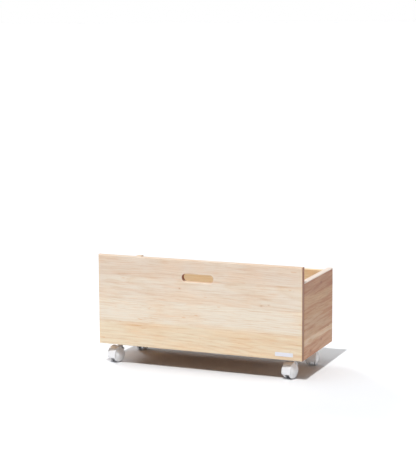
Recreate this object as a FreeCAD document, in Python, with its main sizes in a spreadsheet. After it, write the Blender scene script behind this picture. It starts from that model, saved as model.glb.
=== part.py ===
import FreeCAD, Part
import math
import os
import Sketcher
from FreeCAD import Placement, Rotation, Vector
from types import SimpleNamespace

# A wooden toy box on four twin-wheel swivel casters.
#
# Millimetres. The origin is on the floor under the middle of the box. +X runs to the box's right end, +Y to
# its back and +Z up. The tall front panel faces -Y and has the hand slot.
#
# The case is a butt-jointed box of softwood boards: the front covers the ends, the back stands between them,
# and hidden dowels hold the corners. A plywood bottom sits in grooves. Two solid rails under it carry the
# casters.

SIZES = {
    # case
    "width": 700,
    "depth": 305,
    "board": 18,
    "front_height": 295,
    "end_height": 245,
    "back_height": 237,
    "round_over": 3.5,
    "small_round": 1.5,
    # hand slot in the front panel
    "slot_length": 107,
    "slot_height": 25,
    "slot_drop": 57,
    "slot_round": 2.5,
    # bottom and its grooves
    "bottom_thickness": 9,
    "groove_depth": 6,
    "groove_play": 0.2,
    "groove_end_play": 0.5,
    # rails under the bottom
    "rail_width": 60,
    "rail_thickness": 18,
    "rail_screw_spacing": 35,
    "rail_screw_bite": 7,
    # dowels of the corner joints
    "dowel_diameter": 8,
    "dowel_face_depth": 12,
    "dowel_edge_depth": 24,
    "dowel_relief": 1,
    "dowel_margin": 45,
    # wood screws
    "screw_diameter": 4,
    "screw_head_diameter": 8,
    "countersink_depth": 2.2,
    "pan_head_height": 2.4,
    "pan_crown_height": 1,
    "pan_crown_inset": 1.2,
    "recess_span": 4,
    "recess_width": 0.9,
    "recess_depth": 1.4,
    "plate_screw_bite": 14,
    # blank label
    "label_length": 59,
    "label_height": 12.5,
    "label_thickness": 0.4,
    "label_corner": 1.5,
    "label_side_inset": 30,
    "label_bottom_inset": 11.5,
    # casters: where their kingpins stand
    "caster_side_inset": 48,
    "caster_end_inset": 58,
    # casters: steel plate and kingpin
    "plate_side": 42,
    "plate_thickness": 2,
    "plate_corner": 4,
    "plate_hole_spacing": 32,
    "plate_hole_diameter": 4.5,
    "neck_height": 10.5,
    "neck_diameter": 15,
    "swivel_gap": 0.5,
    "stem_diameter": 8,
    "stem_length": 20,
    "pin_clearance": 0.05,
    "ring_width": 1.2,
    "ring_seat": 3,
    "ring_groove_depth": 0.8,
    "ring_stand_out": 0.6,
    "ring_clearance": 0.4,
    # casters: hood, wheels and axle
    "trail": 20,
    "wheel_radius": 25,
    "tread_width": 8,
    "dome_height": 7,
    "shoulder_drop": 3,
    "tread_chamfer": 1,
    "rim_wall": 4,
    "wheel_wall": 3,
    "hub_radius": 7,
    "wheel_gap": 1.5,
    "wheel_side_gap": 0.5,
    "hood_wall": 2,
    "hood_round": 1.6,
    "web_width": 15,
    "web_clearance": 16,
    "fender_reach": 2,
    "axle_diameter": 6,
    "axle_reach": 3,
    "axle_end_gap": 0.5,
    # which way each caster trails at rest, in degrees about +Z from pointing to the front
    "front_left_swivel": -15,
    "front_right_swivel": -11,
    "back_left_swivel": 3,
    "back_right_swivel": 12,
}


class Size:
    """A size with its value and its formula in the sheet's cells. Sums of sizes keep both."""

    def __init__(self, text, value):
        self.text = text
        self.value = value

    def joined(self, sign, other, value):
        return Size("(%s %s %s)" % (self.text, sign, other.text), value)

    def __add__(self, other):
        other = as_size(other)
        return self.joined("+", other, self.value + other.value)

    def __radd__(self, other):
        return as_size(other) + self

    def __sub__(self, other):
        other = as_size(other)
        return self.joined("-", other, self.value - other.value)

    def __rsub__(self, other):
        return as_size(other) - self

    def __mul__(self, other):
        other = as_size(other)
        return self.joined("*", other, self.value * other.value)

    def __rmul__(self, other):
        return as_size(other) * self

    def __truediv__(self, other):
        other = as_size(other)
        return self.joined("/", other, self.value / other.value)

    def __neg__(self):
        return 0 - self


def as_size(thing):
    return thing if isinstance(thing, Size) else Size(str(thing), thing)


def sine(angle):
    return Size("sin(%s * 1deg)" % angle.text, math.sin(math.radians(angle.value)))


def cosine(angle):
    return Size("cos(%s * 1deg)" % angle.text, math.cos(math.radians(angle.value)))


doc = FreeCAD.newDocument("toy_box")
sheet = doc.addObject("Spreadsheet::Sheet", "Sizes")
nodes = []
dim = SimpleNamespace()


def fill_sheet():
    """Write every driving size to the sheet as a named cell, and name it in dim."""
    for row, (alias, value) in enumerate(SIZES.items(), start=1):
        sheet.set("A%d" % row, alias)
        sheet.set("B%d" % row, str(value))
        sheet.setAlias("B%d" % row, alias)
        setattr(dim, alias, Size("Sizes." + alias, value))
    doc.recompute()


fill_sheet()

# Sizes that follow from the driving ones.
hood_radius = dim.wheel_radius + dim.wheel_gap + dim.hood_wall
hood_top = dim.wheel_radius + hood_radius
plate_underside = hood_top + dim.neck_height
case_base = plate_underside + dim.plate_thickness
neck_base = hood_top + dim.swivel_gap
stem_tip = neck_base - dim.stem_length
ring_low = stem_tip + dim.ring_seat
ring_high = ring_low + dim.ring_width
ring_waist = dim.stem_diameter / 2 - dim.ring_groove_depth
ring_outer = dim.stem_diameter / 2 + dim.ring_stand_out
wheel_inner = dim.web_width / 2 + dim.wheel_side_gap
wheel_rim = wheel_inner + dim.tread_width
axle_end = wheel_rim + dim.axle_reach
inner_length = dim.width - 2 * dim.board
inner_depth = dim.depth - 2 * dim.board
groove_height = dim.bottom_thickness + dim.groove_play


def bind(thing, path, size):
    """Tie one property of an object to the sheet."""
    thing.setExpression(path, as_size(size).text)


def keep(thing, node):
    """Name a finished sub-part and list it for export."""
    thing.Label = node
    nodes.append(thing)
    return thing


# ---- sketches and features ----

def new_body(node):
    return keep(doc.addObject("PartDesign::Body", node + "_body"), node)


def place(body, x, y, z, turn=0):
    """Put a body at a point of the toy box's frame, turned about +Z."""
    spot = "vector(%s; %s; %s)" % (as_size(x).text, as_size(y).text, as_size(z).text)
    turned = "rotation(vector(0; 0; 1); %s)" % as_size(turn).text
    body.setExpression("Placement", "placement(%s; %s)" % (spot, turned))


def new_sketch(body, name, plane, offset=0):
    """A sketch on one of the body's own origin planes, moved along the plane's normal."""
    sketch = body.newObject("Sketcher::SketchObject", body.Label + "_" + name)
    origin_plane = next(item for item in body.Origin.OriginFeatures if item.Role == plane)
    sketch.AttachmentSupport = [(origin_plane, "")]
    sketch.MapMode = "FlatFace"
    bind(sketch, "AttachmentOffset.Base.z", offset)
    return sketch


def spot_of(point):
    """A point given as two sizes, as a vector in the sketch."""
    return Vector(as_size(point[0]).value, as_size(point[1]).value, 0)


def pin_point(sketch, shape, end, point):
    """Fix one point of a sketch at x, y from the sketch's origin."""
    for kind, axis, value in (("DistanceX", -2, point[0]), ("DistanceY", -1, point[1])):
        size = as_size(value)
        if size.text == "0":
            sketch.addConstraint(Sketcher.Constraint("PointOnObject", shape, end, axis))
        else:
            index = sketch.addConstraint(Sketcher.Constraint(kind, -1, 1, shape, end, size.value))
            bind(sketch, "Constraints[%d]" % index, size)


def polyline(sketch, points):
    """An open run of straight lines through points given as pairs of sizes."""
    lines = []
    for start, end in zip(points, points[1:]):
        line = sketch.addGeometry(Part.LineSegment(spot_of(start), spot_of(end)), False)
        if lines:
            sketch.addConstraint(Sketcher.Constraint("Coincident", lines[-1], 2, line, 1))
        pin_point(sketch, line, 1, start)
        lines.append(line)
    return lines


def outline(sketch, points):
    """A closed outline of straight lines."""
    lines = polyline(sketch, points + points[:1])
    sketch.addConstraint(Sketcher.Constraint("Coincident", lines[-1], 2, lines[0], 1))


def rectangle(sketch, left, low, right, high):
    outline(sketch, [(left, low), (right, low), (right, high), (left, high)])


def circle(sketch, x, y, radius):
    ring = sketch.addGeometry(Part.Circle(spot_of((x, y)), Vector(0, 0, 1), radius.value), False)
    pin_point(sketch, ring, 3, (x, y))
    index = sketch.addConstraint(Sketcher.Constraint("Radius", ring, radius.value))
    bind(sketch, "Constraints[%d]" % index, radius)


def extend(feature, length, reverse, both_ways):
    """Set how far a pad or pocket reaches: a length, both ways about its sketch, or all the way through.

    A pad grows along its sketch's normal and a pocket cuts against it, unless reversed. The normal of
    XZ_Plane is -Y, of YZ_Plane +X and of XY_Plane +Z.
    """
    if both_ways:
        feature.SideType = "Symmetric"
    if length is None:
        feature.Type = "ThroughAll"
    else:
        bind(feature, "Length", length)
    feature.Reversed = reverse


def pad(body, sketch, length, reverse=False, both_ways=False):
    feature = body.newObject("PartDesign::Pad", sketch.Label + "_pad")
    feature.Profile = sketch
    extend(feature, length, reverse, both_ways)
    doc.recompute()


def check_cut(feature, before):
    """Stop if a cut has taken nothing away."""
    doc.recompute()
    if not feature.Shape.Volume < before - 0.01:
        raise ValueError(feature.Label + " cuts nothing")


def pocket(body, sketch, length=None, reverse=False, both_ways=False):
    before = body.Tip.Shape.Volume
    feature = body.newObject("PartDesign::Pocket", sketch.Label + "_pocket")
    feature.Profile = sketch
    extend(feature, length, reverse, both_ways)
    check_cut(feature, before)


def full_turn(body, kind, sketch, axis_name):
    """Revolve a sketch, or cut with its revolution, about one of the sketch's own axes."""
    feature = body.newObject(kind, sketch.Label + "_turning")
    feature.Profile = sketch
    feature.ReferenceAxis = (sketch, [axis_name])
    feature.Angle = 360
    doc.recompute()
    return feature


def edges_like(feature, wanted):
    """Names of a feature's edges whose bounding boxes pass a test."""
    names = []
    for number, edge in enumerate(feature.Shape.Edges, start=1):
        if wanted(edge.BoundBox):
            names.append("Edge%d" % number)
    if not names:
        raise ValueError(feature.Label + " has no such edge")
    return names


def round_edges(body, radius, wanted):
    """Round each edge of the body's last feature whose bounding box passes the test."""
    base = body.Tip
    feature = body.newObject("PartDesign::Fillet", "%s_round_%d" % (body.Label, len(body.Group)))
    feature.Base = (base, edges_like(base, wanted))
    bind(feature, "Radius", radius)
    doc.recompute()


def near(value, size):
    return abs(value - as_size(size).value) < 0.001


# ---- plain pieces made of primitives ----

def stand_at(piece, x, y, z):
    for axis, value in (("x", x), ("y", y), ("z", z)):
        bind(piece, "Placement.Base." + axis, value)


def rod(name, radius, length, direction, x, y, z):
    """A plain cylinder from a point along +X, +Y or +Z."""
    turns = {
        "X": Rotation(Vector(0, 1, 0), 90),
        "Y": Rotation(Vector(1, 0, 0), -90),
        "Z": Rotation(),
    }
    cylinder = doc.addObject("Part::Cylinder", name)
    cylinder.Placement = Placement(Vector(), turns[direction])
    bind(cylinder, "Radius", radius)
    bind(cylinder, "Height", length)
    stand_at(cylinder, x, y, z)
    return cylinder


def taper(name, low_radius, high_radius, length, x, y, z):
    """A cone standing along +Z."""
    cone = doc.addObject("Part::Cone", name)
    bind(cone, "Radius1", low_radius)
    bind(cone, "Radius2", high_radius)
    bind(cone, "Height", length)
    stand_at(cone, x, y, z)
    return cone


def fuse(name, pieces):
    joined = doc.addObject("Part::MultiFuse", name)
    joined.Shapes = pieces
    return joined


def cross_recess(name, screw, x, y, z):
    """A screw with a cross cut up into its head, which faces down."""
    arms = []
    long_arm = ("long", dim.recess_span, dim.recess_width)
    cross_arm = ("cross", dim.recess_width, dim.recess_span)
    for label, length, width in (long_arm, cross_arm):
        arm = doc.addObject("Part::Box", name + "_recess_" + label)
        bind(arm, "Length", length)
        bind(arm, "Width", width)
        bind(arm, "Height", dim.recess_depth)
        stand_at(arm, x - length / 2, y - width / 2, z)
        arms.append(arm)
    cut = doc.addObject("Part::Cut", name)
    cut.Base = screw
    cut.Tool = fuse(name + "_recess", arms)
    return cut


def group(node, pieces):
    """Identical loose pieces that share one node."""
    compound = doc.addObject("Part::Compound", node + "_group")
    compound.Links = pieces
    return keep(compound, node)


# ---- case ----

def dowel_heights(panel_height):
    """Heights of a joint's three dowels above the panels' bottom edge."""
    return [dim.dowel_margin, panel_height / 2, panel_height - dim.dowel_margin]


def groove(body, plane, offset, left, right, reverse):
    """The long groove that holds one edge of the bottom panel."""
    sketch = new_sketch(body, "groove", plane, offset)
    rectangle(sketch, left, dim.rail_thickness, right, dim.rail_thickness + groove_height)
    pocket(body, sketch, dim.groove_depth, reverse)


def dowel_holes(body, name, plane, offset, spots, deep, reverse):
    sketch = new_sketch(body, name, plane, offset)
    for across, height in spots:
        circle(sketch, across, height, dim.dowel_diameter / 2)
    pocket(body, sketch, deep + dim.dowel_relief, reverse)


def cut_slot(body):
    """The hand slot: straight sides, full-round ends and softened rims."""
    slot = new_sketch(body, "slot", "XZ_Plane")
    middle = dim.front_height - dim.slot_drop
    end_radius = dim.slot_height / 2
    left = (dim.width - dim.slot_length) / 2 + end_radius
    right = (dim.width + dim.slot_length) / 2 - end_radius
    rectangle(slot, left, middle - end_radius, right, middle + end_radius)
    pocket(body, slot, None, both_ways=True)
    for name, x in (("left", left), ("right", right)):
        slot_end = new_sketch(body, name + "_slot_end", "XZ_Plane")
        circle(slot_end, x, middle, end_radius)
        pocket(body, slot_end, None, both_ways=True)
    round_edges(body, dim.slot_round, lambda box: near(box.YLength, 0)
                and box.XMin > (left - end_radius).value - 1 and box.XMax < (right + end_radius).value + 1)


def make_front_panel():
    """Full-width tall board. Its own corner is at its lower left front."""
    body = new_body("front_panel")
    face = new_sketch(body, "face", "XZ_Plane")
    rectangle(face, 0, 0, dim.width, dim.front_height)
    pad(body, face, dim.board, reverse=True)
    round_edges(body, dim.round_over, lambda box: near(box.YMax, 0)
                and (near(box.XLength, dim.width) or near(box.ZLength, dim.front_height)))
    round_edges(body, dim.small_round, lambda box: near(box.ZMin, dim.front_height)
                and near(box.YMin, dim.board))
    cut_slot(body)

    groove(body, "XZ_Plane", -dim.board, dim.board - dim.groove_depth,
           dim.width - dim.board + dim.groove_depth, True)
    spots = []
    for across in (dim.board / 2, dim.width - dim.board / 2):
        for height in dowel_heights(dim.end_height):
            spots.append((across, height))
    dowel_holes(body, "dowel_holes", "XZ_Plane", -dim.board, spots, dim.dowel_face_depth, True)
    place(body, -dim.width / 2, -dim.depth / 2, case_base)


def make_end_panel(side):
    """End board, behind the front panel. Its own corner is at its lower left front."""
    body = new_body(side + "_end_panel")
    left_side = side == "left"
    outer_face = as_size(0) if left_side else dim.board
    inner_face = dim.board if left_side else as_size(0)
    long = dim.depth - dim.board
    face = new_sketch(body, "face", "YZ_Plane")
    rectangle(face, 0, 0, long, dim.end_height)
    pad(body, face, dim.board)
    round_edges(body, dim.round_over, lambda box: near(box.YMin, long) and near(box.XMin, outer_face)
                and near(box.ZLength, dim.end_height))
    round_edges(body, dim.small_round, lambda box: near(box.ZMin, dim.end_height)
                and box.YLength > dim.board.value + 1 and near(box.XLength, 0))

    # The groove runs out of the front edge and stops short of the back one.
    groove(body, "YZ_Plane", inner_face, 0, inner_depth + dim.groove_depth, not left_side)
    front_spots = [(dim.board / 2, height) for height in dowel_heights(dim.end_height)]
    dowel_holes(body, "front_dowel_holes", "XZ_Plane", 0, front_spots, dim.dowel_edge_depth, False)
    back_spots = [(long - dim.board / 2, height) for height in dowel_heights(dim.back_height)]
    dowel_holes(body, "back_dowel_holes", "YZ_Plane", inner_face, back_spots, dim.dowel_face_depth,
                not left_side)
    left_edge = -dim.width / 2 if left_side else dim.width / 2 - dim.board
    place(body, left_edge, dim.board - dim.depth / 2, case_base)


def make_back_panel():
    """Board between the ends. Its own corner is at its lower left front."""
    body = new_body("back_panel")
    face = new_sketch(body, "face", "XZ_Plane")
    rectangle(face, 0, 0, inner_length, dim.back_height)
    pad(body, face, dim.board, reverse=True)
    round_edges(body, dim.small_round, lambda box: near(box.ZMin, dim.back_height)
                and near(box.XLength, inner_length))

    groove(body, "XZ_Plane", 0, 0, inner_length, False)
    spots = [(dim.board / 2, height) for height in dowel_heights(dim.back_height)]
    dowel_holes(body, "left_dowel_holes", "YZ_Plane", 0, spots, dim.dowel_edge_depth, True)
    dowel_holes(body, "right_dowel_holes", "YZ_Plane", inner_length, spots, dim.dowel_edge_depth, False)
    place(body, dim.board - dim.width / 2, dim.depth / 2 - dim.board, case_base)


def rail_middle(side):
    """X of the middle of a rail."""
    middle = dim.width / 2 - dim.board - dim.rail_width / 2
    return -middle if side == "left" else middle


def rail_screw_spots(side):
    x = rail_middle(side)
    return [(x, -dim.rail_screw_spacing), (x, 0), (x, dim.rail_screw_spacing)]


def caster_spot(corner):
    """Where a caster's kingpin stands."""
    x = dim.width / 2 - dim.caster_side_inset
    y = dim.depth / 2 - dim.caster_end_inset
    return (-x if corner.endswith("left") else x, -y if corner.startswith("front") else y)


def plate_hole_spots(corner):
    """Centres of a mounting plate's four holes."""
    x, y = caster_spot(corner)
    half = dim.plate_hole_spacing / 2
    return [(x - half, y - half), (x + half, y - half), (x + half, y + half), (x - half, y + half)]


def make_bottom_panel():
    """Plywood sheet with an edge in each of the four grooves."""
    body = new_body("bottom_panel")
    plan = new_sketch(body, "plan", "XY_Plane")
    tongue = dim.groove_depth - dim.groove_end_play
    half_length = inner_length / 2 + tongue
    half_depth = inner_depth / 2 + tongue
    rectangle(plan, -half_length, -half_depth, half_length, half_depth)
    pad(body, plan, dim.bottom_thickness)
    holes = new_sketch(body, "screw_holes", "XY_Plane")
    for x, y in rail_screw_spots("left") + rail_screw_spots("right"):
        circle(holes, x, y, dim.screw_diameter / 2)
    pocket(body, holes, dim.rail_screw_bite, reverse=True)
    place(body, 0, 0, case_base + dim.rail_thickness)


def make_caster_rail(side):
    """Solid rail from front to back under the bottom, which two casters are screwed to."""
    body = new_body(side + "_caster_rail")
    middle = rail_middle(side)
    plan = new_sketch(body, "plan", "XY_Plane")
    half_width = dim.rail_width / 2
    rectangle(plan, middle - half_width, -inner_depth / 2, middle + half_width, inner_depth / 2)
    pad(body, plan, dim.rail_thickness)

    through = new_sketch(body, "screw_holes", "XY_Plane")
    for x, y in rail_screw_spots(side):
        circle(through, x, y, dim.screw_diameter / 2)
    pocket(body, through, None, both_ways=True)

    # Each of those screws lies flush in a countersink, a chamfer on the hole's lower edge.
    base = body.Tip
    sinks = body.newObject("PartDesign::Chamfer", side + "_countersinks")
    sinks.Base = (base, edges_like(base, lambda box: near(box.ZMax, 0)
                                   and near(box.XLength, dim.screw_diameter)))
    sinks.ChamferType = "Two distances"
    bind(sinks, "Size", (dim.screw_head_diameter - dim.screw_diameter) / 2)
    bind(sinks, "Size2", dim.countersink_depth)
    doc.recompute()

    blind = new_sketch(body, "plate_screw_holes", "XY_Plane")
    for corner in ("front_" + side, "back_" + side):
        for x, y in plate_hole_spots(corner):
            circle(blind, x, y, dim.screw_diameter / 2)
    pocket(body, blind, dim.plate_screw_bite, reverse=True)
    place(body, 0, 0, case_base)


def make_case_dowels():
    """Three dowels in each of the four upright corner joints."""
    pieces = []
    radius = dim.dowel_diameter / 2
    long = dim.dowel_face_depth + dim.dowel_edge_depth
    for side in ("left", "right"):
        left_side = side == "left"
        x = dim.board / 2 - dim.width / 2 if left_side else dim.width / 2 - dim.board / 2
        front_y = dim.board - dim.depth / 2 - dim.dowel_face_depth
        for number, height in enumerate(dowel_heights(dim.end_height), start=1):
            name = "front_%s_dowel_%d" % (side, number)
            pieces.append(rod(name, radius, long, "Y", x, front_y, case_base + height))
        back_y = dim.depth / 2 - dim.board / 2
        back_x = dim.board - dim.width / 2 - dim.dowel_face_depth
        if not left_side:
            back_x = dim.width / 2 - dim.board - dim.dowel_edge_depth
        for number, height in enumerate(dowel_heights(dim.back_height), start=1):
            name = "back_%s_dowel_%d" % (side, number)
            pieces.append(rod(name, radius, long, "X", back_x, back_y, case_base + height))
    group("case_dowels", pieces)


def make_rail_screws():
    """Countersunk screws up through the rails into the bottom."""
    pieces = []
    radius = dim.screw_diameter / 2
    shank_length = dim.rail_thickness + dim.rail_screw_bite - dim.countersink_depth
    for side in ("left", "right"):
        for number, (x, y) in enumerate(rail_screw_spots(side), start=1):
            name = "%s_rail_screw_%d" % (side, number)
            head = taper(name + "_head", dim.screw_head_diameter / 2, radius, dim.countersink_depth,
                         x, y, case_base)
            shank = rod(name + "_shank", radius, shank_length, "Z", x, y, case_base + dim.countersink_depth)
            pieces.append(cross_recess(name, fuse(name + "_blank", [head, shank]), x, y, case_base))
    group("rail_screws", pieces)


def make_label():
    """Blank label on the front panel's face."""
    body = new_body("label")
    plate = new_sketch(body, "plate", "XZ_Plane")
    rectangle(plate, 0, 0, dim.label_length, dim.label_height)
    pad(body, plate, dim.label_thickness)
    round_edges(body, dim.label_corner, lambda box: near(box.XLength, 0) and near(box.ZLength, 0))
    place(body, dim.width / 2 - dim.label_side_inset - dim.label_length, -dim.depth / 2,
          case_base + dim.label_bottom_inset)


# ---- casters ----

def make_mounting_plate(corner):
    body = new_body(corner + "_mounting_plate")
    plan = new_sketch(body, "plan", "XY_Plane")
    half = dim.plate_side / 2
    rectangle(plan, -half, -half, half, half)
    pad(body, plan, dim.plate_thickness)
    round_edges(body, dim.plate_corner, lambda box: near(box.XLength, 0) and near(box.YLength, 0))
    holes = new_sketch(body, "holes", "XY_Plane")
    for x in (-dim.plate_hole_spacing / 2, dim.plate_hole_spacing / 2):
        for y in (-dim.plate_hole_spacing / 2, dim.plate_hole_spacing / 2):
            circle(holes, x, y, dim.plate_hole_diameter / 2)
    circle(holes, 0, 0, dim.stem_diameter / 2)
    pocket(body, holes, None, both_ways=True)
    x, y = caster_spot(corner)
    place(body, x, y, plate_underside)


def make_plate_screws(corner):
    """Pan-head screws up through the mounting plate into the rail."""
    pieces = []
    shank_length = dim.plate_thickness + dim.plate_screw_bite
    for number, (x, y) in enumerate(plate_hole_spots(corner), start=1):
        name = "%s_plate_screw_%d" % (corner, number)
        head_face = plate_underside - dim.pan_head_height
        radius = dim.screw_head_diameter / 2
        crown = taper(name + "_crown", radius - dim.pan_crown_inset, radius, dim.pan_crown_height, x, y,
                      head_face)
        head = rod(name + "_head", radius, dim.pan_head_height - dim.pan_crown_height, "Z", x, y,
                   head_face + dim.pan_crown_height)
        shank = rod(name + "_shank", dim.screw_diameter / 2, shank_length, "Z", x, y, plate_underside)
        blank = fuse(name + "_blank", [crown, head, shank])
        pieces.append(cross_recess(name, blank, x, y, head_face))
    group(corner + "_plate_screws", pieces)


def make_kingpin(corner):
    """Turned steel pin: a spigot in the plate, a thick neck under it and the stem that the hood turns on."""
    body = new_body(corner + "_kingpin")
    stem = dim.stem_diameter / 2
    neck = dim.neck_diameter / 2
    half = new_sketch(body, "half_section", "XZ_Plane")
    outline(half, [
        (0, stem_tip), (stem, stem_tip), (stem, ring_low), (ring_waist, ring_low), (ring_waist, ring_high),
        (stem, ring_high), (stem, neck_base), (neck, neck_base), (neck, plate_underside),
        (stem, plate_underside), (stem, case_base), (0, case_base),
    ])
    full_turn(body, "PartDesign::Revolution", half, "V_Axis")
    x, y = caster_spot(corner)
    place(body, x, y, 0)


def make_grip_ring(corner):
    """Spring ring in the stem's groove, which keeps the hood from dropping off."""
    body = new_body(corner + "_grip_ring")
    half = new_sketch(body, "half_section", "XZ_Plane")
    rectangle(half, ring_waist, ring_low, ring_outer, ring_high)
    full_turn(body, "PartDesign::Revolution", half, "V_Axis")
    x, y = caster_spot(corner)
    place(body, x, y, 0)


def place_on_swivel(body, corner):
    """Put a body drawn about the kingpin's axis at its caster, turned as the caster stands at rest."""
    x, y = caster_spot(corner)
    place(body, x, y, 0, getattr(dim, corner + "_swivel"))


def make_hood(corner):
    """Moulded body: a web between the wheels, a fender over them and the kingpin's socket."""
    body = new_body(corner + "_hood")
    drum = new_sketch(body, "drum", "YZ_Plane")
    circle(drum, -dim.trail, dim.wheel_radius, hood_radius)
    pad(body, drum, 2 * wheel_rim, both_ways=True)
    round_edges(body, dim.hood_round, lambda box: near(box.XLength, 0) and near(abs(box.XMin), wheel_rim))

    # A well for each wheel, open to the side, and no fender over the wheel's rear.
    half_web = dim.web_width / 2
    reach = dim.wheel_side_gap + 2 * dim.tread_width
    for side, offset, reverse in (("right", half_web, True), ("left", -half_web, False)):
        well = new_sketch(body, side + "_wheel_well", "YZ_Plane", offset)
        circle(well, -dim.trail, dim.wheel_radius, dim.wheel_radius + dim.wheel_gap)
        pocket(body, well, reach, reverse)
        rear = new_sketch(body, side + "_fender_end", "YZ_Plane", offset)
        rectangle(rear, dim.fender_reach, -dim.wheel_radius, 2 * dim.wheel_radius, hood_top)
        pocket(body, rear, reach, reverse)

    below = new_sketch(body, "underside", "YZ_Plane")
    rectangle(below, -dim.trail - 2 * dim.wheel_radius, -dim.wheel_radius, 2 * dim.wheel_radius,
              dim.web_clearance)
    pocket(body, below, None, both_ways=True)

    boss = new_sketch(body, "boss", "XY_Plane", dim.wheel_radius)
    circle(boss, 0, 0, half_web)
    pad(body, boss, hood_radius)
    cut_socket(body)

    axle_hole = new_sketch(body, "axle_hole", "YZ_Plane")
    circle(axle_hole, -dim.trail, dim.wheel_radius, dim.axle_diameter / 2)
    pocket(body, axle_hole, None, both_ways=True)
    place_on_swivel(body, corner)


def cut_socket(body):
    """The kingpin's bore, with a wider ring of space where the grip ring turns."""
    socket = new_sketch(body, "socket", "XZ_Plane")
    bore = dim.stem_diameter / 2 + dim.pin_clearance
    wide = ring_outer + dim.ring_clearance
    low = ring_low - dim.ring_clearance
    high = ring_high + dim.ring_clearance
    floor = stem_tip - dim.swivel_gap
    mouth = hood_top + 1
    outline(socket, [(0, floor), (bore, floor), (bore, low), (wide, low), (wide, high), (bore, high),
                     (bore, mouth), (0, mouth)])
    before = body.Tip.Shape.Volume
    check_cut(full_turn(body, "PartDesign::Groove", socket, "V_Axis"), before)


def make_axle(corner):
    body = new_body(corner + "_axle")
    section = new_sketch(body, "section", "YZ_Plane")
    circle(section, -dim.trail, dim.wheel_radius, dim.axle_diameter / 2)
    pad(body, section, 2 * axle_end, both_ways=True)
    place_on_swivel(body, corner)


def make_wheel(corner, side):
    """Moulded wheel with a hollow inner side and a domed outer face, drawn about the axle's own line."""
    body = new_body("%s_%s_wheel" % (corner, side))
    hole = dim.axle_diameter / 2 + dim.pin_clearance
    bore_end = axle_end + dim.axle_end_gap
    well_end = wheel_rim - dim.wheel_wall
    rim_inside = dim.wheel_radius - dim.rim_wall
    shoulder = dim.wheel_radius - dim.shoulder_drop
    crown = wheel_rim + dim.dome_height
    half = new_sketch(body, "half_section", "XZ_Plane")
    lines = polyline(half, [
        (crown, 0), (bore_end, 0), (bore_end, hole), (wheel_inner, hole), (wheel_inner, dim.hub_radius),
        (well_end, dim.hub_radius), (well_end, rim_inside), (wheel_inner, rim_inside),
        (wheel_inner, dim.wheel_radius - dim.tread_chamfer),
        (wheel_inner + dim.tread_chamfer, dim.wheel_radius),
        (wheel_rim - dim.shoulder_drop, dim.wheel_radius), (wheel_rim, shoulder),
    ])
    pin_point(half, lines[-1], 2, (wheel_rim, shoulder))

    # The dome is part of a circle whose centre is on the axle.
    rise = dim.dome_height.value
    dome_radius = (shoulder.value ** 2 + rise ** 2) / (2 * rise)
    centre = Vector(crown.value - dome_radius, 0, 0)
    swing = math.atan2(shoulder.value, dome_radius - rise)
    dome_circle = Part.Circle(centre, Vector(0, 0, 1), dome_radius)
    arc = half.addGeometry(Part.ArcOfCircle(dome_circle, 0, swing), False)
    half.addConstraint(Sketcher.Constraint("Coincident", arc, 1, lines[0], 1))
    half.addConstraint(Sketcher.Constraint("Coincident", arc, 2, lines[-1], 2))
    half.addConstraint(Sketcher.Constraint("PointOnObject", arc, 3, -1))
    full_turn(body, "PartDesign::Revolution", half, "H_Axis")

    # The wheel is lifted to the axle and set back by the trail. The left one faces the other way.
    x, y = caster_spot(corner)
    swivel = getattr(dim, corner + "_swivel")
    turn = swivel if side == "right" else swivel + 180
    place(body, x + dim.trail * sine(swivel), y - dim.trail * cosine(swivel), dim.wheel_radius, turn)


def make_caster(corner):
    make_mounting_plate(corner)
    make_plate_screws(corner)
    make_kingpin(corner)
    make_grip_ring(corner)
    make_hood(corner)
    make_axle(corner)
    for side in ("left", "right"):
        make_wheel(corner, side)


# ---- build, check and write ----

def check_document():
    for item in doc.Objects:
        if "Invalid" in item.State or "Error" in item.State:
            raise ValueError("%s failed: %s" % (item.Label, item.State))
    for node in nodes:
        if node.Shape.isNull() or not node.Shape.isValid() or not node.Shape.Solids:
            raise ValueError(node.Label + " has no valid solid")


make_front_panel()
make_end_panel("left")
make_end_panel("right")
make_back_panel()
make_bottom_panel()
make_caster_rail("left")
make_caster_rail("right")
make_case_dowels()
make_rail_screws()
make_label()
for corner_name in ("front_left", "front_right", "back_left", "back_right"):
    make_caster(corner_name)
doc.recompute()
check_document()

os.makedirs("parts", exist_ok=True)
for node in nodes:
    node.Shape.exportStep("parts/%s.step" % node.Label)
print("wrote %d parts" % len(nodes))
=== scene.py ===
import math

import bmesh
import bpy
from mathutils import Matrix, Vector


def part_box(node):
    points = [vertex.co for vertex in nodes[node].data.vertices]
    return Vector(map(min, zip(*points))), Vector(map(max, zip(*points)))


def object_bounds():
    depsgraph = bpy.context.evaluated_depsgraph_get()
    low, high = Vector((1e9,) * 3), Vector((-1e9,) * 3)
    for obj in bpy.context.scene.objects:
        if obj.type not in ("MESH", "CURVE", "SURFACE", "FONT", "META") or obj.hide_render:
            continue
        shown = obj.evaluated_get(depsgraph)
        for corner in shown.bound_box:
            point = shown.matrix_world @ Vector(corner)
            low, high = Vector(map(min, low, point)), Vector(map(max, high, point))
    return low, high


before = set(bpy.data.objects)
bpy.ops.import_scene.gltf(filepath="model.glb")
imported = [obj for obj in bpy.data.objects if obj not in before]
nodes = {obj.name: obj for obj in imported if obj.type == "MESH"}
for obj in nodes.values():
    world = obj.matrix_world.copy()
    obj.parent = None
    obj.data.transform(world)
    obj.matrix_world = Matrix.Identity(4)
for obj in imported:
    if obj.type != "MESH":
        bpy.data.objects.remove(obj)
cad_low, cad_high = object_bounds()

FRONT_LOW, FRONT_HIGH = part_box("front_panel")
BACK_LOW, BACK_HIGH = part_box("back_panel")
END_LOW, END_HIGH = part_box("right_end_panel")
BOTTOM_LOW, BOTTOM_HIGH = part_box("bottom_panel")
RAIL_LOW, RAIL_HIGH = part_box("right_caster_rail")
CORNERS = ("front_left", "front_right", "back_left", "back_right")

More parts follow.
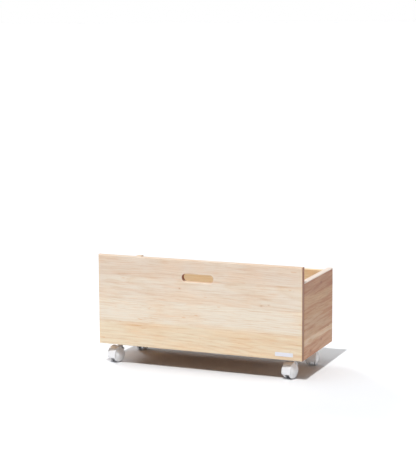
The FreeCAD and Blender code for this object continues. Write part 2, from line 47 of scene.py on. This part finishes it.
# the frame's axes
X, Y, Z = 0, 1, 2

# where a mix node takes its two colours and gives the result
MIX_UNDER, MIX_OVER, MIX_RESULT = 6, 7, 2


# ---- how a finish is put together -----------------------------------------------------------


class Finish:
    """One material, built up step by step from its pattern to its surface."""

    def __init__(self, name):
        self.material = bpy.data.materials.new(name)
        self.material.use_nodes = True
        self.tree = self.material.node_tree
        self.surface = self.tree.nodes["Principled BSDF"]
        self.place = self.step("ShaderNodeTexCoord").outputs["Object"]

    def step(self, kind, **settings):
        made = self.tree.nodes.new(kind)
        for name, value in settings.items():
            setattr(made, name, value)
        return made

    def feed(self, socket, value):
        if isinstance(value, bpy.types.NodeSocket):
            self.tree.links.new(value, socket)
        else:
            socket.default_value = value

    def apply(self, **settings):
        """Set the surface's inputs, with a space for each underscore in their names."""
        for name, value in settings.items():
            self.feed(self.surface.inputs[name.replace("_", " ")], value)

    def calc(self, operation, *values):
        made = self.step("ShaderNodeMath", operation=operation)
        for socket, value in zip(made.inputs, values):
            self.feed(socket, value)
        return made.outputs[0]

    def add(self, a, b):
        return self.calc("ADD", a, b)

    def less(self, a, b):
        return self.calc("SUBTRACT", a, b)

    def times(self, a, b):
        return self.calc("MULTIPLY", a, b)

    def sway(self, noise, amount):
        """Push to and fro by a noise, up to half the amount each way."""
        return self.times(self.less(noise, 0.5), amount)

    def axes(self, vector):
        made = self.step("ShaderNodeSeparateXYZ")
        self.feed(made.inputs[0], vector)
        return made.outputs[0], made.outputs[1], made.outputs[2]

    def vector(self, x, y, z):
        made = self.step("ShaderNodeCombineXYZ")
        for socket, value in zip(made.inputs, (x, y, z)):
            self.feed(socket, value)
        return made.outputs[0]

    def length(self, x, y):
        made = self.step("ShaderNodeVectorMath", operation="LENGTH")
        self.feed(made.inputs[0], self.vector(x, y, 0.0))
        return made.outputs["Value"]

    def noise(self, vector, scale, detail, roughness=0.5):
        """A noise from 0 to 1, with so many repeats per metre along each axis."""
        stretch = self.step("ShaderNodeMapping")
        self.feed(stretch.inputs["Vector"], vector)
        stretch.inputs["Scale"].default_value = scale
        made = self.step("ShaderNodeTexNoise")
        self.feed(made.inputs["Vector"], stretch.outputs[0])
        made.inputs["Scale"].default_value = 1.0
        made.inputs["Detail"].default_value = detail
        made.inputs["Roughness"].default_value = roughness
        return made.outputs[0]

    def fade(self, value, start, end, low=0.0, high=1.0):
        made = self.step("ShaderNodeMapRange", interpolation_type="SMOOTHSTEP")
        for socket, number in zip(made.inputs, (value, start, end, low, high)):
            self.feed(socket, number)
        return made.outputs[0]

    def band(self, value, stops, hold=False):
        made = self.step("ShaderNodeValToRGB")
        made.color_ramp.interpolation = "CONSTANT" if hold else "LINEAR"
        marks = made.color_ramp.elements
        marks.remove(marks[1])
        marks[0].position = stops[0][0]
        marks[0].color = (*stops[0][1], 1.0)
        for position, colour in stops[1:]:
            mark = marks.new(position)
            mark.color = (*colour, 1.0)
        self.feed(made.inputs[0], value)
        return made.outputs[0]

    def blend(self, amount, under, over, kind="MIX"):
        made = self.step("ShaderNodeMix", data_type="RGBA", blend_type=kind)
        self.feed(made.inputs[0], amount)
        for index, colour in ((MIX_UNDER, under), (MIX_OVER, over)):
            self.feed(made.inputs[index], (*colour, 1.0) if isinstance(colour, tuple) else colour)
        return made.outputs[MIX_RESULT]

    def tint(self, amount, colour, tint):
        return self.blend(amount, colour, tint, "MULTIPLY")

    def bump(self, height, strength, distance):
        made = self.step("ShaderNodeBump")
        made.inputs["Strength"].default_value = strength
        made.inputs["Distance"].default_value = distance
        self.feed(made.inputs["Height"], height)
        self.feed(self.surface.inputs["Normal"], made.outputs[0])


# ---- wood -----------------------------------------------------------------------------------

# repeats per metre of each pattern, along the grain and then across it
SWAY = (2.6, 9.0, 9.0)
RIPPLE = (11.0, 30.0, 30.0)
PATCH = (3.0, 22.0, 22.0)
FIBRE = (14.0, 950.0, 950.0)
STREAK = (4.5, 70.0, 70.0)
DASH = (15.0, 240.0, 240.0)
CLOUD = (7.0, 16.0, 16.0)
PORE = (95.0, 1500.0, 1500.0)
FLECK = (26.0, 120.0, 120.0)

# the tree that a stave is cut from, in metres
STAVE_SPACING = 7.0
RINGS_PER_METRE = 165.0
RING_RIPPLE = 0.8
HEART_BEYOND = 0.15
HEART_BEHIND = 0.12
GRAIN_LEAN = 0.035
GRAIN_SWAY = 0.055
GRAIN_RIPPLE = 0.010
RING_SHADES = [(0.0, (0, 0, 0)), (0.45, (0.1, 0.1, 0.1)), (0.82, (1, 1, 1)), (1.0, (0, 0, 0))]

# what each mark does to the tone of the wood
LATE_WOOD = (0.90, 0.76, 0.60)
DARK_STREAK = (0.88, 0.68, 0.52)
PALE_STREAK = (1.08, 1.08, 1.06)
WARM_CLOUD = (1.01, 0.935, 0.87)
DARK_DASH = (0.90, 0.78, 0.66)
PALE_DASH = (1.05, 1.04, 1.03)
DARK_FIBRE = (0.93, 0.87, 0.80)
DARK_PORE = (0.74, 0.56, 0.42)
RESIN_FLECK = (0.90, 0.66, 0.42)
KNOT_HALO = (0.86, 0.58, 0.34)
KNOT_CORE = (0.46, 0.25, 0.14)
GLUE_LINE = (0.72, 0.55, 0.42)
ROUNDED_END = (1.02, 0.965, 0.87)
END_GRAIN = (0.68, 0.52, 0.43)
DARK_END_GRAIN = (0.44, 0.29, 0.27)
# a painted highlight: the hand slot's rounded rim made paler and cooler
SLOT_RIM_HIGHLIGHT = (1.10, 1.13, 1.18)
SLOT_WALL = (0.86, 0.70, 0.52)

# knots are longer along the grain than across it
KNOT_SQUASH = 0.62

# a hand slot's half length without its round ends, and its radius and height
SLOT_HALF = 0.041
SLOT_RADIUS = 0.0125
SLOT_HEIGHT = FRONT_HIGH.z - 0.057


def knotted(finish, colour, along, over, ripple, knots):
    """Knots with a halo round each. Each knot is (place along, place across, radius, depth of its tone)."""
    for knot_along, knot_over, size, depth in knots:
        away = finish.length(
            finish.times(finish.less(along, knot_along), KNOT_SQUASH),
            finish.less(over, knot_over),
        )
        reach = finish.add(away, finish.sway(ripple, size * 0.9))
        halo = finish.fade(reach, size * 2.6, size * 0.9, 0.0, depth * 0.55)
        colour = finish.tint(halo, colour, KNOT_HALO)
        core = finish.fade(reach, size, size * 0.35, 0.0, depth)
        colour = finish.tint(core, colour, KNOT_CORE)
    return colour


def slotted(finish, colour, along, over):
    """The hand slot's rim, made paler as a painted highlight, and its wall. Gives the colour and where the
    wall cuts across the grain.
    """
    side = finish.calc("MAXIMUM", finish.less(finish.calc("ABSOLUTE", along), SLOT_HALF), 0.0)
    away = finish.length(side, finish.less(over, SLOT_HEIGHT))
    # painted highlight: the rounding round the slot is lightened all round
    rim_highlight = finish.fade(away, SLOT_RADIUS + 0.0055, SLOT_RADIUS + 0.0022)
    colour = finish.tint(finish.times(rim_highlight, 0.6), colour, SLOT_RIM_HIGHLIGHT)
    wall = finish.fade(away, SLOT_RADIUS + 0.0016, SLOT_RADIUS + 0.0002)
    colour = finish.tint(finish.times(wall, 0.5), colour, SLOT_WALL)
    return colour, finish.times(wall, finish.fade(side, 0.002, 0.010))


def wood(name, grain, across, low, high, ends, staves, knots=(), streaks=0.5, figure=0.5, flecks=1.0,
         soft=0.005, wave=0.015, slot=False, faced=None, top_edge_highlight=None, end_grain=END_GRAIN):
    """Wood glued up from staves.

    grain and across are the axes along and across the staves, low and high are the board's edges, and ends
    is its middle and half its length. Each stave is (share of the width where it starts, tone, height of
    the log's heart, how far behind it lies, place along the log). streaks, figure and flecks say how
    strong these marks are, soft and wave how softly and how unevenly two staves' tones meet. faced is the
    level of one face and the tint of that face, which is painted shade where it darkens the right end's
    outer face, and top_edge_highlight is the tone of the top edge, a painted highlight.
    """
    finish = Finish(name)
    axes = finish.axes(finish.place)
    along = axes[grain]
    over = axes[across]
    deep = axes[X + Y + Z - grain - across]
    span = high - low
    width = finish.calc("DIVIDE", finish.less(over, low), span)
    heart = finish.band(width, [(stave[0], stave[2:]) for stave in staves], hold=True)
    heart_over, heart_deep, slide = finish.axes(heart)

    # every stave is cut from another stretch of another log
    shifted = finish.add(along, finish.times(slide, STAVE_SPACING))
    lie = finish.vector(shifted, over, deep)
    sway = finish.noise(lie, SWAY, 2.0)
    ripple = finish.noise(lie, RIPPLE, 2.0)

    # sapwood and heartwood meet softly, so the tones don't change just at the glue lines
    wavy = finish.add(width, finish.sway(sway, wave))
    tones = [(0.0, staves[0][1])]
    for before, after in zip(staves, staves[1:]):
        tones.append((after[0] - soft, before[1]))
        tones.append((after[0] + soft, after[1]))
    tone = finish.band(wavy, tones)

    # the year rings lie round the log's heart, and each is darkest at its end
    heart_level = finish.add(low - HEART_BEYOND, finish.times(heart_over, span + 2 * HEART_BEYOND))
    bend = finish.add(finish.sway(sway, GRAIN_SWAY), finish.sway(ripple, GRAIN_RIPPLE))
    up = finish.add(finish.less(over, heart_level), bend)
    behind = finish.less(deep, finish.times(heart_deep, HEART_BEHIND))
    radius = finish.length(up, finish.add(behind, finish.times(shifted, GRAIN_LEAN)))
    turn = finish.add(finish.times(radius, RINGS_PER_METRE), finish.times(ripple, RING_RIPPLE))
    late = finish.band(finish.calc("FRACT", turn), RING_SHADES)
    patch = finish.noise(lie, PATCH, 3.0, 0.6)
    late = finish.times(late, finish.fade(patch, 0.30, 0.70, 0.25, 1.0))
    colour = finish.tint(finish.times(late, figure), tone, LATE_WOOD)

    # marks on top of the rings: each has a pattern, where on it the mark starts and is full, and a strength
    fibre = finish.noise(lie, FIBRE, 3.0, 0.6)
    streak = finish.noise(lie, STREAK, 4.0, 0.62)
    dash = finish.noise(lie, DASH, 2.0, 0.55)
    cloud = finish.noise(lie, CLOUD, 3.0, 0.6)
    pore = finish.noise(lie, PORE, 1.0)
    fleck = finish.noise(lie, FLECK, 1.0)
    rise = 0.20 / max(1.0, streaks)
    plain = min(1.0, streaks)
    for pattern, start, full, strength, mark in (
        (streak, 0.50, 0.50 + rise, plain, DARK_STREAK),
        (streak, 0.46, 0.46 - rise, plain * 0.8, PALE_STREAK),
        (cloud, 0.38, 0.68, 1.0, WARM_CLOUD),
        (dash, 0.50, 0.72, 0.5 * flecks, DARK_DASH),
        (dash, 0.48, 0.28, 0.6 * flecks, PALE_DASH),
        (fibre, 0.42, 0.72, 0.55, DARK_FIBRE),
        (pore, 0.69, 0.76, 0.6, DARK_PORE),
        (fleck, 0.73, 0.80, 0.7, RESIN_FLECK),
    ):
        colour = finish.tint(finish.fade(pattern, start, full, 0.0, strength), colour, mark)
    colour = knotted(finish, colour, along, over, ripple, knots)

    # the face on the far side from the others has its own tint; on the right end's outer face this tint is
    # painted shade, redder as well
    if faced is not None:
        level, face_tint = faced
        near = finish.fade(deep, level - 0.0028, level - 0.0006)
        colour = finish.tint(near, colour, face_tint)

    # the top edge is made paler: a painted highlight of the light from above
    if top_edge_highlight is not None:
        edge = finish.fade(over, high - 0.0045, high - 0.0020)
        colour = finish.blend(finish.times(edge, 0.8), colour, top_edge_highlight)

    # a hairline where two staves are glued
    for share, *_ in staves[1:]:
        off = finish.calc("ABSOLUTE", finish.less(over, low + share * span))
        colour = finish.tint(finish.fade(off, 0.0007, 0.0002, 0.0, 0.30), colour, GLUE_LINE)

    # the rounding at the ends is golden, and the end grain drinks more lacquer and goes darker
    middle, half = ends
    out = finish.calc("ABSOLUTE", finish.less(along, middle))
    cut = finish.fade(out, half - 0.0014, half - 0.0003)
    rounded = finish.fade(out, half - 0.0065, half - 0.0025)
    colour = finish.tint(rounded, colour, ROUNDED_END)
    if slot:
        colour, slot_cut = slotted(finish, colour, along, over)
        cut = finish.calc("MAXIMUM", cut, slot_cut)
    colour = finish.tint(cut, colour, end_grain)

    gloss = finish.add(finish.times(fibre, 0.16), finish.times(late, -0.05))
    gloss = finish.add(finish.add(gloss, 0.38), finish.times(cut, 0.15))
    finish.apply(Base_Color=colour, Roughness=gloss, Specular_IOR_Level=0.35)
    finish.apply(Coat_Weight=0.05, Coat_Roughness=0.28)
    finish.bump(finish.add(finish.times(fibre, 0.5), finish.times(late, 0.5)), 0.16, 0.0003)
    return finish.material


def middle_and_half(low, high):
    return (low + high) / 2, (high - low) / 2


END_DEPTH = middle_and_half(END_LOW.y, END_HIGH.y)
NO_ENDS = (0.0, 1.0)

pine_front = wood(
    "pine_front", X, Z, FRONT_LOW.z, FRONT_HIGH.z, middle_and_half(FRONT_LOW.x, FRONT_HIGH.x),
    [
        (0.00, (0.805, 0.682, 0.512), 0.46, 0.35, 0.11),
        (0.27, (0.815, 0.730, 0.615), 0.10, 0.90, 0.63),
        (0.53, (0.785, 0.688, 0.580), 0.62, 0.55, 0.37),
        (0.79, (0.750, 0.636, 0.530), 0.98, 0.80, 0.82),
    ],
    knots=[(-0.062, 0.268, 0.0022, 0.5), (0.215, 0.232, 0.003, 0.35), (0.24, 0.236, 0.002, 0.3)],
    streaks=0.38, flecks=1.35, soft=0.035, wave=0.105, slot=True, end_grain=DARK_END_GRAIN,
)
pine_back = wood(
    "pine_back", X, Z, BACK_LOW.z, BACK_HIGH.z, middle_and_half(BACK_LOW.x, BACK_HIGH.x),
    [
        (0.00, (0.830, 0.690, 0.460), 0.20, 0.70, 0.41),
        (0.33, (0.850, 0.720, 0.500), 0.70, 0.40, 0.08),
        (0.66, (0.840, 0.700, 0.475), 0.35, 0.90, 0.77),
    ],
    knots=[(0.130, 0.150, 0.005, 0.7)],
)
pine_right = wood(
    "pine_right_end", Y, Z, END_LOW.z, END_HIGH.z, END_DEPTH,
    [
        (0.00, (0.840, 0.560, 0.390), 0.55, 0.25, 0.19),
        (0.18, (1.000, 0.850, 0.700), 0.05, 0.95, 0.53),
        (0.25, (0.780, 0.560, 0.395), 0.30, 0.75, 0.71),
        (0.52, (0.735, 0.510, 0.330), 0.12, 0.90, 0.28),
        (0.80, (0.640, 0.390, 0.245), 0.80, 0.30, 0.93),
    ],
    knots=[
        (-0.07, 0.083, 0.006, 0.5),
        (0.035, 0.098, 0.005, 0.45),
        (0.105, 0.128, 0.0025, 0.9),
        (0.03, 0.285, 0.005, 0.5),
    ],
    streaks=2.0, figure=1.0, flecks=1.9, soft=0.008, wave=0.11,
    # the outer face is darkened as painted shade, and the top edge is lightened as a painted highlight
    faced=(END_HIGH.x, (0.675, 0.575, 0.470)), top_edge_highlight=(0.86, 0.78, 0.70),
)
pine_left = wood(
    "pine_left_end", Y, Z, END_LOW.z, END_HIGH.z, END_DEPTH,
    [
        (0.00, (0.790, 0.620, 0.455), 0.30, 0.55, 0.44),
        (0.31, (0.810, 0.680, 0.530), 0.85, 0.80, 0.15),
        (0.63, (0.770, 0.610, 0.465), 0.50, 0.35, 0.66),
    ],
    knots=[(0.04, 0.21, 0.004, 0.7)],
)
rail_pine = wood(
    "rail_pine", Y, X, RAIL_LOW.x, RAIL_HIGH.x, END_DEPTH,
    [(0.00, (0.820, 0.520, 0.260), 0.40, 0.60, 0.33)],
)
bottom_plywood = wood(
    "bottom_plywood", X, Y, BOTTOM_LOW.y, BOTTOM_HIGH.y, middle_and_half(BOTTOM_LOW.x, BOTTOM_HIGH.x),
    [(0.00, (0.380, 0.220, 0.120), 0.45, 0.30, 0.58)],
    streaks=0.35, figure=0.4, faced=(BOTTOM_HIGH.z, (1.90, 2.35, 2.70)),
)
dowel_beech = wood(
    "dowel_beech", Y, X, cad_low[0], cad_high[0], NO_ENDS,
    [(0.00, (0.560, 0.390, 0.260), 0.50, 0.50, 0.21)],
)


# ---- plastic, steel, film -------------------------------------------------------------------

# repeats per metre
MOULD_FLOW = (38.0, 38.0, 60.0)
SCUFF = (420.0, 420.0, 420.0)
ORANGE_PEEL = (900.0, 900.0, 900.0)
SPANGLE = (160.0, 160.0, 160.0)

# dust lies on what is this close to the floor, in metres
DUST_HEIGHT = 0.012


def nylon(name, tone, roughness):
    finish = Finish(name)
    flow = finish.noise(finish.place, MOULD_FLOW, 2.0)
    scuff = finish.noise(finish.place, SCUFF, 3.0, 0.6)
    orange_peel = finish.noise(finish.place, ORANGE_PEEL, 1.0)
    dull = (tone[0] * 0.965, tone[1] * 0.965, tone[2] * 0.96)
    colour = finish.blend(finish.fade(flow, 0.35, 0.7), tone, dull)
    dust = finish.fade(finish.axes(finish.place)[Z], DUST_HEIGHT, 0.0, 0.0, 0.35)
    colour = finish.tint(dust, colour, (0.93, 0.91, 0.88))
    colour = finish.tint(finish.fade(scuff, 0.66, 0.76, 0.0, 0.25), colour, (0.86, 0.85, 0.84))
    shine = finish.add(roughness, finish.fade(scuff, 0.45, 0.8, 0.0, 0.16))
    finish.apply(Base_Color=colour, Roughness=shine, Specular_IOR_Level=0.8)
    finish.bump(orange_peel, 0.05, 0.0001)
    return finish.material


def steel(name, tone, roughness, grain):
    finish = Finish(name)
    brush = finish.noise(finish.place, grain, 3.0, 0.6)
    spangle = finish.noise(finish.place, SPANGLE, 2.0)
    dull = tuple(part * 0.86 for part in tone)
    colour = finish.blend(finish.fade(spangle, 0.3, 0.7), tone, dull)
    shine = finish.add(roughness, finish.times(brush, 0.18))
    finish.apply(Base_Color=colour, Metallic=1.0, Roughness=shine)
    finish.bump(brush, 0.08, 0.0001)
    return finish.material


white_hood = nylon("white_hood", (0.84, 0.84, 0.855), 0.15)
white_wheel = nylon("white_wheel", (0.82, 0.82, 0.83), 0.20)
label_film = nylon("label_film", (0.76, 0.76, 0.83), 0.30)
zinc_steel = steel("zinc_steel", (0.66, 0.67, 0.69), 0.26, (60.0, 900.0, 900.0))
dark_steel = steel("dark_steel", (0.11, 0.11, 0.12), 0.34, (600.0, 600.0, 60.0))
spring_steel = steel("spring_steel", (0.30, 0.30, 0.32), 0.30, (600.0, 600.0, 60.0))
axle_steel = steel("axle_steel", (0.62, 0.62, 0.64), 0.22, (200.0, 900.0, 900.0))

FINISHES = {
    "front_panel": pine_front,
    "back_panel": pine_back,
    "left_end_panel": pine_left,
    "right_end_panel": pine_right,
    "bottom_panel": bottom_plywood,
    "left_caster_rail": rail_pine,
    "right_caster_rail": rail_pine,
    "case_dowels": dowel_beech,
    "rail_screws": zinc_steel,
    "label": label_film,
}
for corner in CORNERS:
    FINISHES[corner + "_mounting_plate"] = zinc_steel
    FINISHES[corner + "_plate_screws"] = zinc_steel
    FINISHES[corner + "_kingpin"] = dark_steel
    FINISHES[corner + "_grip_ring"] = spring_steel
    FINISHES[corner + "_hood"] = white_hood
    FINISHES[corner + "_axle"] = axle_steel
    FINISHES[corner + "_left_wheel"] = white_wheel
    FINISHES[corner + "_right_wheel"] = white_wheel
for name, material in FINISHES.items():
    mesh = nodes[name].data
    mesh.materials.clear()
    mesh.materials.append(material)


# ---- studio ---------------------------------------------------------------------------------

FLOOR_RADIUS = 120.0
PAPER_TOOTH = (3.0, 3.0, 3.0)

floor_mesh = bpy.data.meshes.new("studio_floor")
floor = bpy.data.objects.new("studio_floor", floor_mesh)
bpy.context.scene.collection.objects.link(floor)
sheet = bmesh.new()
bmesh.ops.create_circle(sheet, cap_ends=True, segments=96, radius=FLOOR_RADIUS)
sheet.to_mesh(floor_mesh)
sheet.free()

paper = Finish("studio_paper")
tooth = paper.noise(paper.place, PAPER_TOOTH, 2.0)
white = paper.blend(tooth, (0.80, 0.805, 0.82), (0.81, 0.815, 0.83))
paper.apply(Base_Color=white, Roughness=0.9, Specular_IOR_Level=0.1)

# the paper is clear from below, so that the underside can be seen
clear = paper.step("ShaderNodeBsdfTransparent")
which_side = paper.step("ShaderNodeNewGeometry")
both = paper.step("ShaderNodeMixShader")
paper.feed(both.inputs[0], which_side.outputs["Backfacing"])
paper.feed(both.inputs[1], paper.surface.outputs[0])
paper.feed(both.inputs[2], clear.outputs[0])
paper.feed(paper.tree.nodes["Material Output"].inputs["Surface"], both.outputs[0])
floor_mesh.materials.append(paper.material)

# a weak even light from all round, and a white wall behind the paper that gives no light
world = bpy.data.worlds.new("studio")
bpy.context.scene.world = world
world.use_nodes = True
room = world.node_tree.nodes
light = room["Background"]
light.inputs["Color"].default_value = (0.96, 0.98, 1.0, 1.0)
light.inputs["Strength"].default_value = 0.13
wall = room.new("ShaderNodeBackground")
wall.inputs["Color"].default_value = (1.0, 1.0, 1.0, 1.0)
ray = room.new("ShaderNodeLightPath")
either = room.new("ShaderNodeMixShader")
for start, end in (
    (ray.outputs["Is Camera Ray"], either.inputs[0]),
    (light.outputs[0], either.inputs[1]),
    (wall.outputs[0], either.inputs[2]),
    (either.outputs[0], room["World Output"].inputs["Surface"]),
):
    world.node_tree.links.new(start, end)


def lamp(name, kind, heading, energy, **settings):
    data = bpy.data.lights.new(name, kind)
    data.energy = energy
    for setting, value in settings.items():
        setattr(data, setting, value)
    made = bpy.data.objects.new(name, data)
    made.rotation_euler = Vector(heading).to_track_quat("-Z", "Y").to_euler()
    bpy.context.scene.collection.objects.link(made)
    return made


lamp("key", "SUN", (0.0, 0.55, -1.0), 2.40, angle=math.radians(1.5))
lamp("overhead", "SUN", (0.16, 0.12, -1.0), 1.20, angle=math.radians(60.0), color=(0.94, 0.97, 1.0))
lamp("window", "SUN", (0.75, -0.60, -0.50), 1.4, angle=math.radians(18.0), color=(0.93, 0.96, 1.0))
fill = lamp("fill", "AREA", (-1.40, 0.23, -0.26), 3.6, size=0.8)
fill.location = (1.75, -0.25, 0.42)
fill.visible_camera = False


# ---- camera ---------------------------------------------------------------------------------

LENS = 111.3
SENSOR_WIDTH = 36.0
CLIP_END = 500.0
CAMERA_PLACE = (1.763, -4.264, 1.143)
YAW = math.radians(-22.77)
DIP = math.radians(8.81)
ROLL = math.radians(-0.32)

eye = bpy.data.cameras.new("camera")
camera = bpy.data.objects.new("camera", eye)
bpy.context.scene.collection.objects.link(camera)
eye.lens = LENS
eye.sensor_width = SENSOR_WIDTH
eye.clip_end = CLIP_END
forward = Vector((math.sin(YAW) * math.cos(DIP), math.cos(YAW) * math.cos(DIP), -math.sin(DIP)))
right = Vector((math.cos(YAW), -math.sin(YAW), 0.0))
above = right.cross(forward)
side = right * math.cos(ROLL) + above * math.sin(ROLL)
top = -right * math.sin(ROLL) + above * math.cos(ROLL)
turn = Matrix((side, top, -forward)).transposed()
camera.matrix_world = Matrix.Translation(CAMERA_PLACE) @ turn.to_4x4()
bpy.context.scene.camera = camera
bpy.context.scene.view_settings.view_transform = "Standard"
